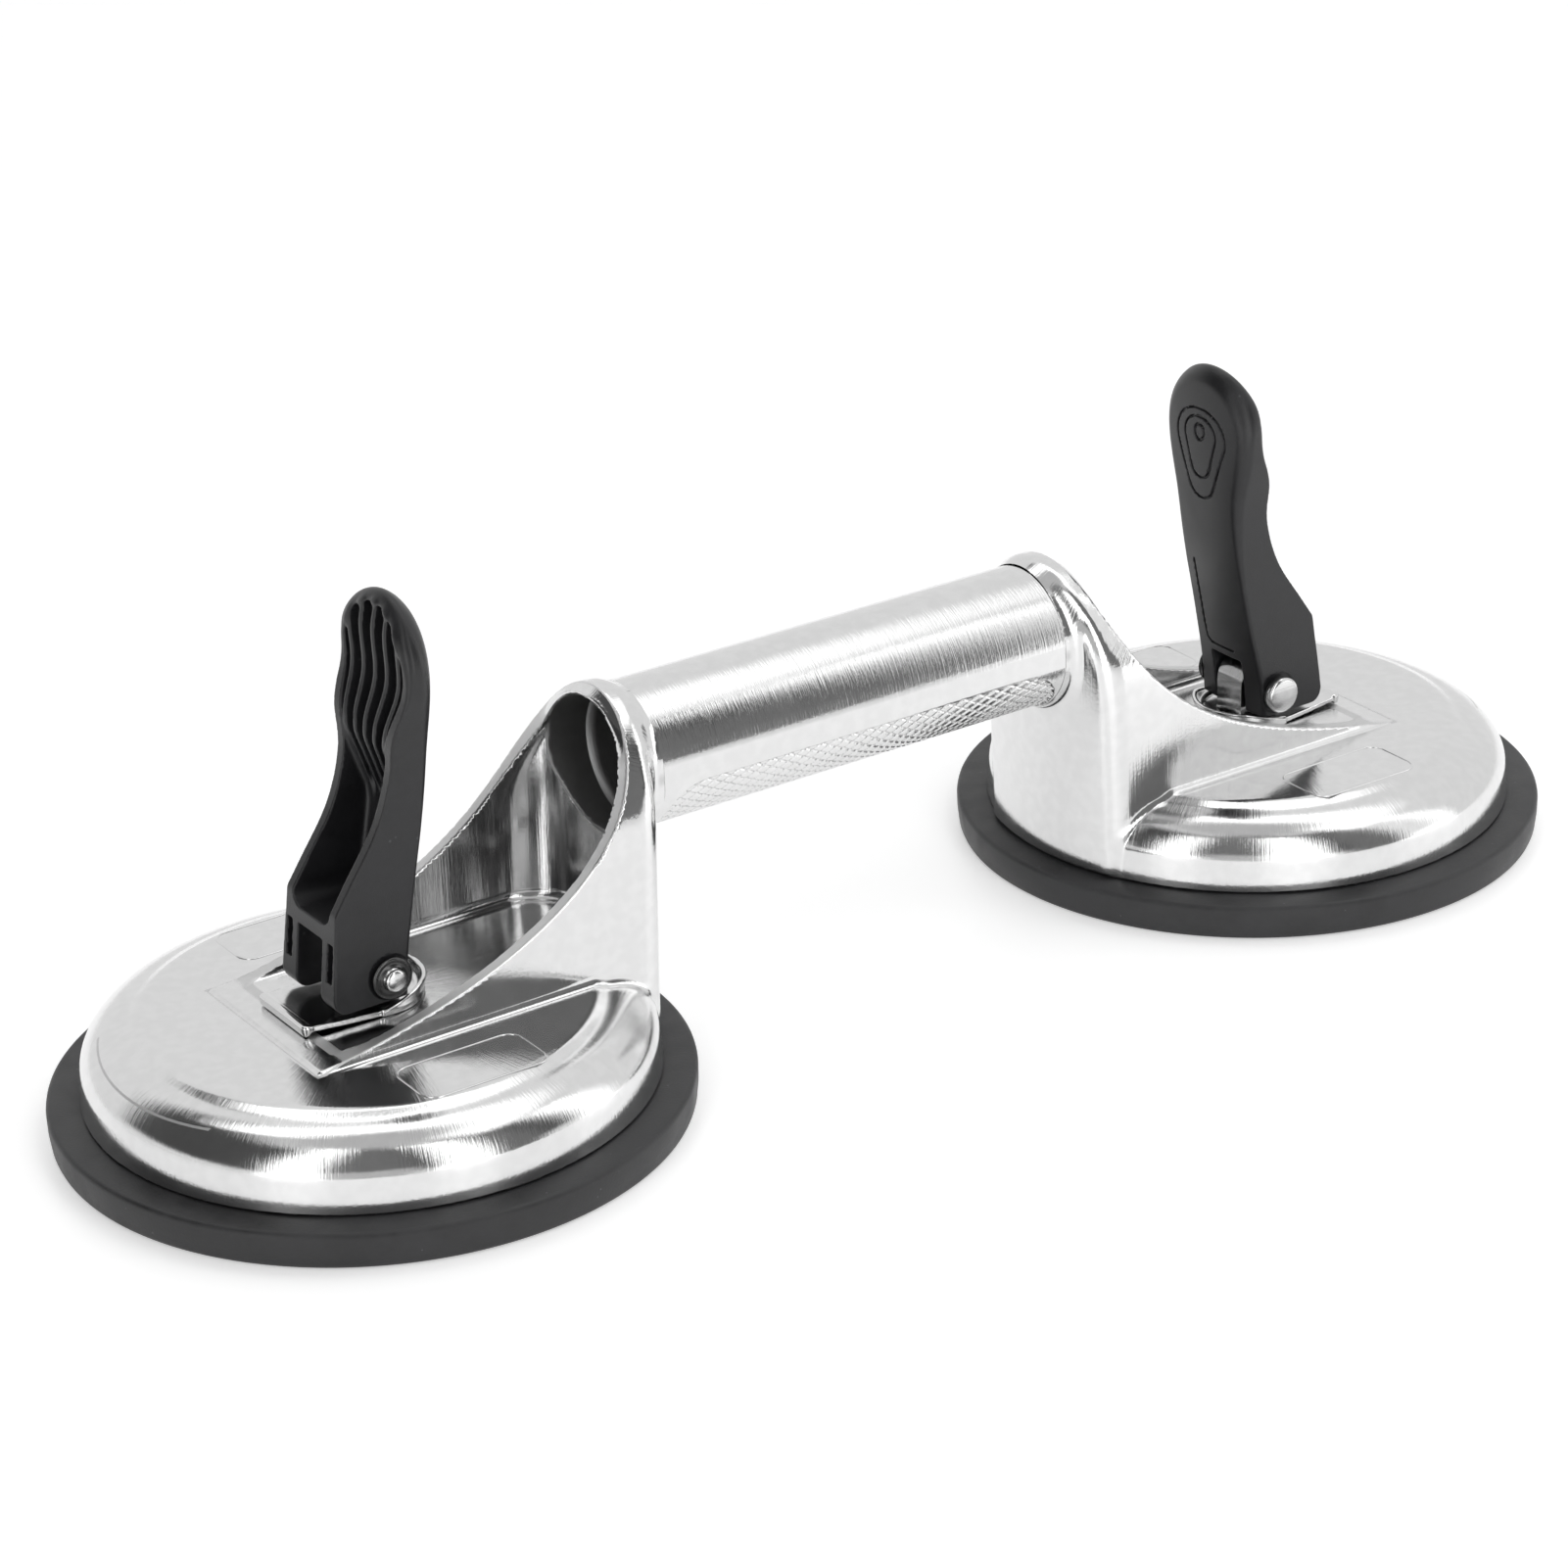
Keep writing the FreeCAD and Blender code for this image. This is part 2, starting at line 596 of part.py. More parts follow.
def lever(name):
    """Forked foot on the pivot, a channel open outwards above it, ribs inside the grip."""
    blank = lever_blank(name + "_blank")
    crown_height = "pivot_height + lever_reach - lever_half_width"
    crown = cylinder(name + "_crown", "lever_half_width", "lever_reach", axis="X", centred=True, z=crown_height)
    stalk = box(name + "_stalk", "-lever_reach / 2", "lever_reach / 2", "lever_half_width",
                "pivot_height - lever_sole", crown_height)
    solid = common(name + "_solid", blank, fuse(name + "_limit", crown, stalk))
    fork = box(name + "_fork", "-lever_reach", "lever_reach", "fork_gap / 2", "0", "pivot_height + fork_height")
    inside = size("lever_half_width") - size("channel_wall")
    channel = back_strip(name + "_channel", size("channel_web"), size("lever_reach") / 2, "channel_base",
                         "0.93 * lever_reach", inside)
    hole = cylinder(name + "_hole", "pin_radius + pin_clearance", "2 * lever_width", axis="Y", centred=True,
                    z="pivot_height")
    slots = [box(f"{name}_slot_{label}", "lever_toe - slot_depth", "2 * lever_toe", "slot_gauge / 2",
                 "pivot_height + slot_base", "pivot_height + slot_base + slot_length",
                 middle=f"{sign} * (fork_gap + lever_width) / 4")
             for label, sign in (("a", "-1"), ("b", "1"))]
    hollowed = cut(name + "_hollowed", solid, fork, channel, hole, *slots)
    ribs = []
    for number in range(RIB_COUNT):
        rib = back_strip(f"{name}_rib_{number}", size("channel_web") - 1, size("channel_web") + size("rib_depth"),
                         "0.57 * lever_reach", "0.94 * lever_reach", size("rib_gauge") / 2)
        bind(rib, Placement__Base__y=f"({2 * number + 1 - RIB_COUNT}) * {inside} / {RIB_COUNT + 0.5}")
        ribs.append(rib)
    return fuse(name, hollowed, *ribs)


# ---------------------------------------------------------------- assembly

nodes = {"body_casting": casting()}
for side in SIDES:
    for piece, make in (("rubber_pad", rubber_pad), ("backing_disc", backing_disc), ("pull_stem", pull_stem),
                        ("return_spring", return_spring), ("wear_plate", wear_plate),
                        ("pivot_pin", pivot_pin), ("pin_washer", pin_washer), ("lever", lever)):
        nodes[f"{side}_{piece}"] = station(make(f"{side}_{piece}"), side)

doc.recompute()
for item in doc.Objects:
    if "Invalid" in item.State or "Error" in item.State:
        raise RuntimeError(f"{item.Label} failed: {item.State}")
for name, item in nodes.items():
    item.Label = name
    if item.Shape.isNull() or not item.Shape.isValid() or len(item.Shape.Solids) != 1:
        raise RuntimeError(f"{name} isn't one sound solid")

os.makedirs("parts", exist_ok=True)
for name, item in nodes.items():
    item.Shape.exportStep(os.path.join("parts", name + ".step"))
    bounds = item.Shape.BoundBox
    print(f"{name}: {item.Shape.Volume / 1000:.2f} cm3, z {bounds.ZMin:.1f} to {bounds.ZMax:.1f}")
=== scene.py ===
"""Looks of the floor tile suction lifter: cast aluminium, rubber pads, black cam levers, steel fittings."""
import bpy
import math
import numpy as np
from mathutils import Matrix, Vector


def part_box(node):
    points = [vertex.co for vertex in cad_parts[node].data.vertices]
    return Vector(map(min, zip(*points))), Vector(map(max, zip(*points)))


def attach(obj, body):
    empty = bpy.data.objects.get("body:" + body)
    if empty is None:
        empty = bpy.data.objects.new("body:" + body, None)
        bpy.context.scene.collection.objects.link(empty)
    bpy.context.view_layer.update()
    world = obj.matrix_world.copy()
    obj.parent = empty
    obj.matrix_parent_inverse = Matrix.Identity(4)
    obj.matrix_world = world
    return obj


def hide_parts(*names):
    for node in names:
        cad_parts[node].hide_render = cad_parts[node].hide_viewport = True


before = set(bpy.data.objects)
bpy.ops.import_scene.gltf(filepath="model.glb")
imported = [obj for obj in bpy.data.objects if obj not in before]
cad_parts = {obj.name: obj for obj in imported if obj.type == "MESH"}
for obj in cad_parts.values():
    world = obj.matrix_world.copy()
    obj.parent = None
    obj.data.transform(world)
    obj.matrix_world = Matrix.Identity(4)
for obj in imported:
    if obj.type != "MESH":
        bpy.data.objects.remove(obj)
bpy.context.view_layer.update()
MM = 0.001

# ---------------------------------------------------------------- sizes, in millimetres, read from the frame


def span(node, axis):
    """Lowest and highest coordinate of a CAD node along an axis."""
    low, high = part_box(node)
    return low[axis] / MM, high[axis] / MM


def middle(node, axis):
    """Middle of a CAD node along an axis."""
    low, high = span(node, axis)
    return (low + high) / 2


CUP_AXIS = middle("right_rubber_pad", 0)
PAD_RADIUS = (span("right_rubber_pad", 0)[1] - span("right_rubber_pad", 0)[0]) / 2
PAD_TOP = span("right_rubber_pad", 2)[1]
CAP_RADIUS = span("body_casting", 1)[1]
PIVOT = middle("right_pivot_pin", 2)
LEVER_HALF = span("right_lever", 1)[1]
LEVER_REACH = span("right_lever", 2)[1] - PIVOT
LEVER_TOE = span("right_lever", 0)[1] - CUP_AXIS
PLATE_FRONT = span("right_wear_plate", 0)[1] - CUP_AXIS
PLATE_TOP = PIVOT - 6.2
RIM_TOP = span("body_casting", 2)[1] - 1.1

# Sizes of the casting
CAP_TOP = PAD_TOP + 15.0
CAP_WALL = 4.0
SCOOP_TOP = RIM_TOP - 1.8
SCOOP_HALF = 21.4
SCOOP_BACK = CAP_RADIUS + 1.4
SCOOP_FRONT = PLATE_FRONT + 3.1
SCOOP_FLOOR = CAP_TOP + 1.0
SCOOP_WALL = 3.0
STEM_HOLE = 6.5
ARCH_BASE = RIM_TOP - 32.3
HANDLE_RADIUS = 14.3
HANDLE_AXIS = CAP_TOP + 32.9
HANDLE_BORE = 13.3
BORE_END = -40.0  # how far an end's bore runs, from the cup's axis
STUB = 2.5  # length of handle modelled with each end
GRIP_DROP = 2.3
GRIP_DEPTH = 0.35
GRIP_ROWS, GRIP_COLUMNS, HOLE_ROWS = 381, 400, 41
KNURL_PITCH = 3.7
KNURL_DEPTH = 0.42
KNURL_LEAN = 1.75

# Sizes of the lever and its pin
LEVER_SOLE = 4.9
LEVER_WALL = 2.3
CHANNEL_FOOT = 11.5
FORK_HALF = 4.5
FORK_TOP = 6.5
FIN_PITCH = 4.0
FIN_HALF = 0.5
SLOT_OFF, SLOT_HALF = 7.5, 1.0
SLOT_MIDDLE, SLOT_RISE = 4.9, 3.7
SEAT_RADIUS = 4.3
PIN_RADIUS = 2.15
PIN_HEAD = 3.8

# Cell size of the meshes made from fields
GRID = 0.6
LEVER_GRID = 0.35
PLATE_GRID = 0.3
SIDES = {"left": -1, "right": 1}


def to_side(side):
    """Matrix from an end's own frame (cup axis at the origin, metres) to its place."""
    turn = Matrix.Rotation(math.pi if side == "left" else 0.0, 4, "Z")
    return Matrix.Translation((SIDES[side] * CUP_AXIS * MM, 0, 0)) @ turn


# ---------------------------------------------------------------- shapes as distance fields

def norm(*parts):
    """Length of a vector given by its parts."""
    return np.sqrt(sum(part * part for part in parts))


def meet(a, b, radius):
    """Where both fields are inside, with the edge between them rounded."""
    outer = norm(np.maximum(a + radius, 0), np.maximum(b + radius, 0))
    return outer + np.minimum(np.maximum(a, b) + radius, 0) - radius


def join(a, b, radius):
    """Either field, with a fillet between them."""
    return -meet(-a, -b, radius)


def ease(a, b, width):
    """Either field, with a shallow fillet where the two nearly agree."""
    return np.minimum(a, b) - np.maximum(width - np.abs(a - b), 0) ** 2 / (4 * width)


def carve(a, b, radius):
    """The first field less the second, with rounded edges."""
    return meet(a, -b, radius)


def surface(field, low, high, step):
    """Quads on the zero level of a field, one vertex in each cell the level crosses."""
    axes = [np.arange(a, b + step, step) for a, b in zip(low, high)]
    grid = np.meshgrid(*axes, indexing="ij", sparse=True)
    value = np.broadcast_to(field(*grid), [len(axis) for axis in axes]).astype(np.float32)
    inside = value < 0
    cells = tuple(n - 1 for n in value.shape)
    total = np.zeros(cells + (3,), np.float32)
    count = np.zeros(cells, np.float32)
    corners = [(i, j, k) for i in (0, 1) for j in (0, 1) for k in (0, 1)]
    cut = [slice(0, -1), slice(1, None)]
    for start in corners:
        for axis in range(3):
            if start[axis]:
                continue
            end = tuple(1 if n == axis else c for n, c in enumerate(start))
            a = value[tuple(cut[c] for c in start)]
            b = value[tuple(cut[c] for c in end)]
            crossed = (a < 0) != (b < 0)
            share = np.where(crossed, a / np.where(crossed, a - b, 1), 0)
            for n in range(3):
                total[..., n] += np.where(crossed, start[n] + (share if n == axis else 0), 0)
            count += crossed
    used = count > 0
    index = -np.ones(cells, np.int64)
    index[used] = np.arange(int(used.sum()))
    place = np.argwhere(used) + total[used] / count[used][:, None]
    points = place * step + np.array(low)
    quads = []
    for axis in range(3):
        one, two = (axis + 1) % 3, (axis + 2) % 3
        lower = [slice(1, -1)] * 3
        upper = [slice(1, -1)] * 3
        lower[axis], upper[axis] = slice(0, -1), slice(1, None)
        first, second = inside[tuple(lower)], inside[tuple(upper)]
        for flip, crossed in ((False, first & ~second), (True, ~first & second)):
            at = np.argwhere(crossed)
            at[:, one] += 1
            at[:, two] += 1
            ring = []
            for da, db in ((0, 0), (1, 0), (1, 1), (0, 1)):
                cell = at.copy()
                cell[:, one] -= 1 - da
                cell[:, two] -= 1 - db
                ring.append(index[cell[:, 0], cell[:, 1], cell[:, 2]])
            ring = np.stack(ring, 1)
            quads.append(ring[:, ::-1] if flip else ring)
    quads = np.concatenate(quads)
    return points, quads[(quads >= 0).all(1)]


def slope(field, points, reach=0.05):
    """Gradient of a field at points."""
    parts = []
    for axis in range(3):
        shift = np.zeros(3)
        shift[axis] = reach
        ahead, behind = points + shift, points - shift
        parts.append((field(*ahead.T) - field(*behind.T)) / (2 * reach))
    return np.stack(parts, 1)


def settle(field, points, rounds=4):
    """Points moved onto the field's zero level, and their normals."""
    for _ in range(rounds):
        gradient = slope(field, points)
        size = np.maximum((gradient ** 2).sum(1), 0.25)
        step = field(*points.T) / size
        points = points - gradient * np.clip(step, -0.4, 0.4)[:, None]
    gradient = slope(field, points)
    return points, gradient / np.maximum(norm(*gradient.T), 1e-6)[:, None]


def mesh_object(name, points, faces, normals=None, matrix=Matrix.Identity(4)):
    """Smooth mesh object from points in millimetres."""
    mesh = bpy.data.meshes.new(name)
    mesh.from_pydata((np.asarray(points) * MM).tolist(), [], np.asarray(faces).tolist())
    mesh.polygons.foreach_set("use_smooth", [True] * len(mesh.polygons))
    mesh.update()
    if normals is not None:
        mesh.normals_split_custom_set_from_vertices(normals.tolist())
    thing = bpy.data.objects.new(name, mesh)
    thing.matrix_world = matrix
    bpy.context.scene.collection.objects.link(thing)
    return thing


# ---------------------------------------------------------------- casting

# Edge of the scoop in side view: (share of its depth back from the front, share of its height)
RIM_CURVE = ((0.0, 0.0), (0.06, 0.02), (0.399, 0.135), (0.657, 0.302), (0.832, 0.517), (0.944, 0.742),
             (1.0, 1.0))


def rim_fit():
    """The scoop's mouth as one smooth curve in axes turned by 45 degrees."""
    depth = SCOOP_FRONT + SCOOP_BACK - 2.8
    points = [(SCOOP_FRONT - depth * across, CAP_TOP + (RIM_TOP - CAP_TOP) * up) for across, up in RIM_CURVE]
    along = np.array([(x - z) * math.sqrt(0.5) for x, z in points])
    off = np.array([(x + z) * math.sqrt(0.5) for x, z in points])
    return np.poly1d(np.polyfit(along, off, 4)), along.min() - 6, along.max() + 8


RIM, RIM_LOW, RIM_HIGH = rim_fit()
RIM_SLOPE = RIM.deriv()


def beyond_mouth(x, z):
    """Distance above and in front of the scoop's mouth."""
    along = np.clip((x - z) * math.sqrt(0.5), RIM_LOW, RIM_HIGH)
    off = (x + z) * math.sqrt(0.5)
    return (off - RIM(along)) / np.sqrt(1 + RIM_SLOPE(along) ** 2)


def arch(y, z, half, rise):
    """Distance outside a round-topped tunnel: straight walls, half an ellipse above."""
    up = np.maximum(z - ARCH_BASE, 0)
    level = norm(y / half, up / rise)
    lean = norm(y / half ** 2, up / rise ** 2)
    return (level - 1) * level / np.maximum(lean, 1e-4)


def plan(x, y, back, half, corner):
    """Distance outside the scoop's plan: round back on the cup's axis, straight sides."""
    return meet(norm(x, y) - back, np.abs(y) - half, corner)


def cap_field(x, y, z):
    """Rolled cap: flat top, shallow crease, wide round shoulder, short wall with a little draft."""
    r = norm(x, y)
    wall = r - CAP_RADIUS + (z - PAD_TOP - 1.5) * 0.07
    shoulder = meet(wall * 0.8, z - (CAP_TOP - 1.0), 8.0)
    fall = (r - 44.2) * 0.406 + (z - CAP_TOP + 1.0) * 0.914
    plateau = np.maximum(-ease(CAP_TOP - z, -fall, 0.3), r - 45.6)
    top = ease(shoulder, plateau, 0.25)
    body = meet(top, PAD_TOP + 0.15 - z, 0.3)
    return carve(body, meet(r - (CAP_RADIUS - CAP_WALL), z - (CAP_TOP - 6.0), 1.5), 0.4)


def end_field(x, y, z):
    """One end of the casting about its cup axis, with the first stretch of the handle."""
    mouth = beyond_mouth(x, z)
    front = x - SCOOP_FRONT
    wall_arch = arch(y, z, SCOOP_HALF, SCOOP_TOP - ARCH_BASE)
    back = SCOOP_BACK + 0.03 * (z - CAP_TOP)
    wall = meet(meet(plan(x, y, back, SCOOP_HALF, 4.0), wall_arch, 2.5), np.maximum(mouth, front), 0.35)
    tube = meet(norm(y, z - HANDLE_AXIS) - HANDLE_RADIUS, np.abs(y) - HANDLE_RADIUS + 0.15, 0.6)
    tube = meet(tube, x + 50, 0.2)
    body = join(wall, tube, 2.2)
    cavity = meet(norm(x, y) - (CAP_RADIUS - CAP_WALL - 4.0), z - (CAP_TOP - CAP_WALL), 1.0)
    body = carve(meet(body, PAD_TOP + 1.0 - z, 0.2), cavity, 0.3)
    body = join(body, cap_field(x, y, z), 1.6)
    inner = meet(norm(x, y) - (back - 3.8), np.abs(y) - (SCOOP_HALF - SCOOP_WALL), 9.0)
    inner = meet(inner, arch(y, z, SCOOP_HALF - SCOOP_WALL, SCOOP_TOP - 3.0 - ARCH_BASE), 1.0)
    body = carve(body, meet(inner, SCOOP_FLOOR - z, 2.0), 0.25)
    flare = 0.04 * (x + SCOOP_BACK + STUB)
    bore = meet(norm(y, z - HANDLE_AXIS) - HANDLE_BORE - flare, x - BORE_END, 1.0)
    return carve(carve(body, bore, 0.2), norm(x, y) - STEM_HOLE, 0.3)


def casting_end():
    """Mesh of one end, cut square where the handle's own piece begins."""
    seam = -SCOOP_BACK - STUB
    low = (seam, -CAP_RADIUS - 1.5, PAD_TOP - 1.5)
    high = (CAP_RADIUS + 1.5, CAP_RADIUS + 1.5, SCOOP_TOP + 3)
    points, quads = surface(end_field, low, high, GRID)
    points, normals = settle(end_field, points)
    points[points[:, 0] < seam + GRID, 0] = seam
    return points, quads, normals


def sheet_faces(rows, columns, closed=False):
    """Quads of a grid of points, numbered row by row."""
    r = np.arange(rows - 1)[:, None]
    c = np.arange(columns if closed else columns - 1)[None, :]
    n = (c + 1) % columns
    quads = np.stack([r * columns + c, r * columns + n, (r + 1) * columns + n, (r + 1) * columns + c], -1)
    return quads.reshape(-1, 4)


def grip():
    """Hollow handle between the ends: smooth above, diamond knurl in a shallow recess below."""
    half = CUP_AXIS - SCOOP_BACK - STUB
    x = np.linspace(-half, half, GRIP_ROWS)[:, None]
    turn = np.linspace(-math.pi, math.pi, GRIP_COLUMNS + 1)[None, :-1]
    flat = HANDLE_RADIUS - 0.15
    radius = np.minimum(HANDLE_RADIUS, flat / np.maximum(np.abs(np.cos(turn)), 0.5))
    below = -radius * np.sin(turn) - GRIP_DROP
    beside = half - 0.6 - np.abs(x)
    inset = -meet(-below, -beside, 9.0)
    recess = np.clip(inset / 0.4, 0, 1)
    around = HANDLE_RADIUS * turn
    crossing = [np.abs((x + lean * around * KNURL_LEAN) / KNURL_PITCH % 1 - 0.5) for lean in (-1, 1)]
    ridge = np.clip((0.5 - np.maximum(*crossing)) / 0.13, 0, 1)
    radius = radius - recess * (GRIP_DEPTH + KNURL_DEPTH * (1 - ridge ** 0.8))
    inside = np.linspace(half, -half, HOLE_ROWS)[:, None]
    x = np.concatenate([x, inside, x[:1]])
    hole = np.broadcast_to(HANDLE_BORE - 1.5 * (1 - (inside / half) ** 2), (HOLE_ROWS, GRIP_COLUMNS))
    radius = np.concatenate([radius, hole, radius[:1]])
    points = np.stack(np.broadcast_arrays(x, radius * np.cos(turn), HANDLE_AXIS + radius * np.sin(turn)), -1)
    return points.reshape(-1, 3), sheet_faces(len(x), GRIP_COLUMNS, closed=True)


def dress(thing, node, body, material):
    """Give a piece its place in the assembly and its look."""
    if node:
        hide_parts(node)
    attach(thing, body)
    thing.data.materials.append(MATERIALS[material])
    return thing


def casting():
    """Both ends with their name-field outlines, and the handle."""
    points, quads, normals = casting_end()
    for side in SIDES:
        thing = mesh_object(side + "_cast_end", points, quads, normals, to_side(side))
        dress(thing, "body_casting", "frame", "casting")
        for face, sign in (("near", -1), ("far", 1)):
            outline_points, outline_quads = label_outline(sign)
            thing = mesh_object(f"{side}_label_{face}", outline_points, outline_quads, None, to_side(side))
            dress(thing, None, "frame", "casting")
    thing = mesh_object("handle_grip", *grip())
    dress(thing, "body_casting", "frame", "handle")


def label_outline(sign):
    """Thin raised line round an empty name field on the flat top."""
    corners, radius = [], 3.0
    for number, (across, along) in enumerate(((1, 1), (-1, 1), (-1, -1), (1, -1))):
        for step in range(7):
            angle = math.pi / 2 * (number + step / 6)
            corners.append((across * (12.7 - radius) + radius * math.cos(angle) - 2.0,
                            along * (6.75 - radius) + radius * math.sin(angle) + sign * 34.2))
    path = np.array(corners)
    tangent = np.roll(path, -1, 0) - np.roll(path, 1, 0)
    tangent /= norm(*tangent.T)[:, None]
    outward = np.stack([tangent[:, 1], -tangent[:, 0]], 1)
    turn = np.linspace(0, 2 * math.pi, 9)[:-1]
    ring = path[:, None, :] + outward[:, None, :] * 0.22 * np.cos(turn)[None, :, None]
    height = np.broadcast_to(CAP_TOP + 0.14 * np.sin(turn)[None, :], ring.shape[:2])
    points = np.concatenate([ring, height[..., None]], -1)
    points = np.concatenate([points, points[:1]])
    return points.reshape(-1, 3), sheet_faces(len(points), 8, closed=True)


# ---------------------------------------------------------------- lever

# Side and front view from the pivot up, at the few heights where the shape turns: share of the reach, then
# depth as a share of the toe's depth, or half width as a share of the half width at the pivot. The front's first
# point only carries the sweep on below the knee, and the last point of each carries it past the tip.
LEVER_FRONT = ((-0.12, 2.15), (0.15, 1.02), (0.26, 0.58), (0.40, 0.03), (0.54, -0.25), (0.65, -0.30),
               (0.75, -0.51), (0.91, -0.56), (0.98, -0.69), (1.05, -0.90))
LEVER_BACK = ((-0.12, -0.33), (0.04, -0.42), (0.20, -0.61), (0.53, -0.97), (0.80, -1.08), (0.93, -1.05),
              (1.05, -0.93))
LEVER_WIDTH = ((-0.12, 1.0), (0.04, 0.97), (0.20, 0.91), (0.42, 0.915), (0.59, 1.0), (0.75, 1.24),
               (0.82, 1.27), (1.05, 1.27))
# Share of the reach where the rounded head begins
DOME = 0.8


def edge_curve(shares, whole):
    """Smooth line through shares, tabled so that it can be read at any height."""
    height = np.array([up * LEVER_REACH for up, across in shares])
    depth = np.array([across * whole for up, across in shares])
    rise = np.gradient(depth, height)
    fine = np.linspace(height[0], height[-1], 900)
    at = np.clip(np.searchsorted(height, fine) - 1, 0, len(height) - 2)
    gap = height[at + 1] - height[at]
    t = (fine - height[at]) / gap
    value = ((2 * t ** 3 - 3 * t ** 2 + 1) * depth[at] + (t ** 3 - 2 * t ** 2 + t) * gap * rise[at]
             + (3 * t ** 2 - 2 * t ** 3) * depth[at + 1] + (t ** 3 - t ** 2) * gap * rise[at + 1])
    # A distance across the line is shorter than one along x where the line leans
    lean = np.sqrt(1 + np.gradient(value, fine) ** 2)
    return lambda w: np.interp(w, fine, value), lambda w: np.interp(w, fine, lean)


FRONT, FRONT_LEAN = edge_curve(LEVER_FRONT, LEVER_TOE)
BACK, BACK_LEAN = edge_curve(LEVER_BACK, LEVER_TOE)
WIDTH = edge_curve(LEVER_WIDTH, LEVER_HALF)[0]


def capsule(across, up, low, high, low_radius, high_radius):
    """Outline round two circles, one above the other."""
    length = high - low
    lean = (low_radius - high_radius) / length
    rise = math.sqrt(1 - lean ** 2)
    across, up = np.abs(across), up - low
    along = rise * up - lean * across
    round_end = np.where(along < 0, norm(across, up) - low_radius, norm(across, up - length) - high_radius)
    return np.where((along < 0) | (along > rise * length), round_end, rise * across + lean * up - low_radius)


def lever_outline(y, w, inset):
    """Distance outside the lever's front view, drawn in by an inset: long sides, elliptic top."""
    half = WIDTH(w) - inset
    start = DOME * LEVER_REACH
    rise = 0.985 * LEVER_REACH - start - inset
    over = np.maximum(w - start, 0)
    level = norm(y / half, over / rise)
    return (level - 1) * level / np.maximum(norm(y / half ** 2, over / rise ** 2), 1e-4)


def lever_field(x, y, z):
    """Forked cam lever standing up, from its pivot."""
    w = z - PIVOT
    front = (x - FRONT(w)) / FRONT_LEAN(w)
    shin = 0.993 * (x - LEVER_TOE) + 0.119 * (w + 4)
    toe = meet(np.maximum(shin, x - LEVER_TOE), -LEVER_SOLE - w, 3.5)
    bulge = 0.9 * (y / LEVER_HALF) ** 2
    back = (BACK(w) + bulge - x) / BACK_LEAN(w)
    outline = lever_outline(y, w, 0)
    back_round = 0.8 + 1.6 * np.clip((w - 26) / 24, 0, 1) + 1.4 * np.clip((w - 56) / 12, 0, 1)
    shell = meet(outline, back, back_round)
    face = meet(front, toe, 0.25)
    front_round = 0.3 + 1.6 * np.clip((w - 50) / 10, 0, 1)
    body = meet(meet(shell, face, front_round), -LEVER_SOLE - w, 0.5)
    channel = meet(meet(lever_outline(y, w, LEVER_WALL), CHANNEL_FOOT - w, 3.0), back + 2.6, 1.0)
    body = carve(body, meet(channel, shell + 1.5, 0.5), 0.25)
    # Five fins, spread as wide as the lever is at each height
    spread = np.abs(y * LEVER_HALF * 1.2 / WIDTH(w))
    nearest = np.minimum(np.minimum(spread, np.abs(spread - FIN_PITCH)), np.abs(spread - 2 * FIN_PITCH)) * 0.9
    fin = meet(nearest - FIN_HALF + 0.04 * np.maximum(front, -8), face + 0.15, 0.35)
    fin = meet(meet(fin, 0.956 * (x + 3.1) - 0.291 * (w - 44), 0.3), shell + 2.1, 0.3)
    body = join(body, fin, 1.3)
    # Low rib up the middle of the channel's floor
    seam = np.maximum(np.maximum(np.abs(y) - 0.3, -back - 3.0), np.maximum(np.abs(w - 28) - 9, back + 1))
    body = join(body, seam, 0.3)
    fork = meet(np.abs(y) - FORK_HALF, w - FORK_TOP - 2.0 * np.clip(x / 8, 0, 1), 0.4)
    body = carve(body, fork, 0.3)
    slot = meet(np.abs(np.abs(y) - SLOT_OFF) - SLOT_HALF, np.abs(w - SLOT_MIDDLE) - SLOT_RISE, 0.2)
    slot = meet(slot, LEVER_TOE - 7.0 - x, 0.4)
    body = carve(body, slot, 0.12)
    seat = meet(norm(x, w) - SEAT_RADIUS, LEVER_HALF - 0.4 - np.abs(y), 0.2)
    return carve(body, seat, 0.2)


def back_marks(y, w):
    """Thin grooves on the lever's back: two nested drops round a small circle, and an angle lower down."""
    across = y / 1.2
    drops = np.minimum(np.abs(capsule(across, w, 45.6, 55.5, 3.0, 6.1)),
                       np.abs(capsule(across, w, 49.2, 56.0, 2.2, 3.9)))
    circle = np.abs(norm(y, (w - 56.7) * 0.85) - 1.4)
    panel = np.abs(meet(np.abs(y) - 5.4, np.abs(w - 24.0) - 15.6, 2.0))
    angle = np.maximum(panel, np.maximum(-2.8 - y, w - 27.2))
    return np.minimum(np.minimum(drops, circle), angle) - 0.2


def whole_lever(x, y, z):
    """Lever with the grooves cut into its back."""
    w = z - PIVOT
    body = lever_field(x, y, z)
    marks = np.maximum(back_marks(y, w), x - BACK(w) - 3.5)
    return carve(body, meet(marks, -body - 0.4, 0.1), 0.1)


def levers():
    """Both levers from one mesh."""
    low = (BACK(60.0) - 1.5, -LEVER_HALF * 1.3, PIVOT - LEVER_SOLE - 1)
    high = (LEVER_TOE + 1, LEVER_HALF * 1.3, PIVOT + LEVER_REACH + 1)
    points, quads = surface(whole_lever, low, high, LEVER_GRID)
    points, normals = settle(whole_lever, points, 3)
    for side in SIDES:
        thing = mesh_object(side + "_cam_lever", points, quads, normals, to_side(side))
        dress(thing, side + "_lever", side + "_lever_body", "plastic")


# ---------------------------------------------------------------- wear plates and pads

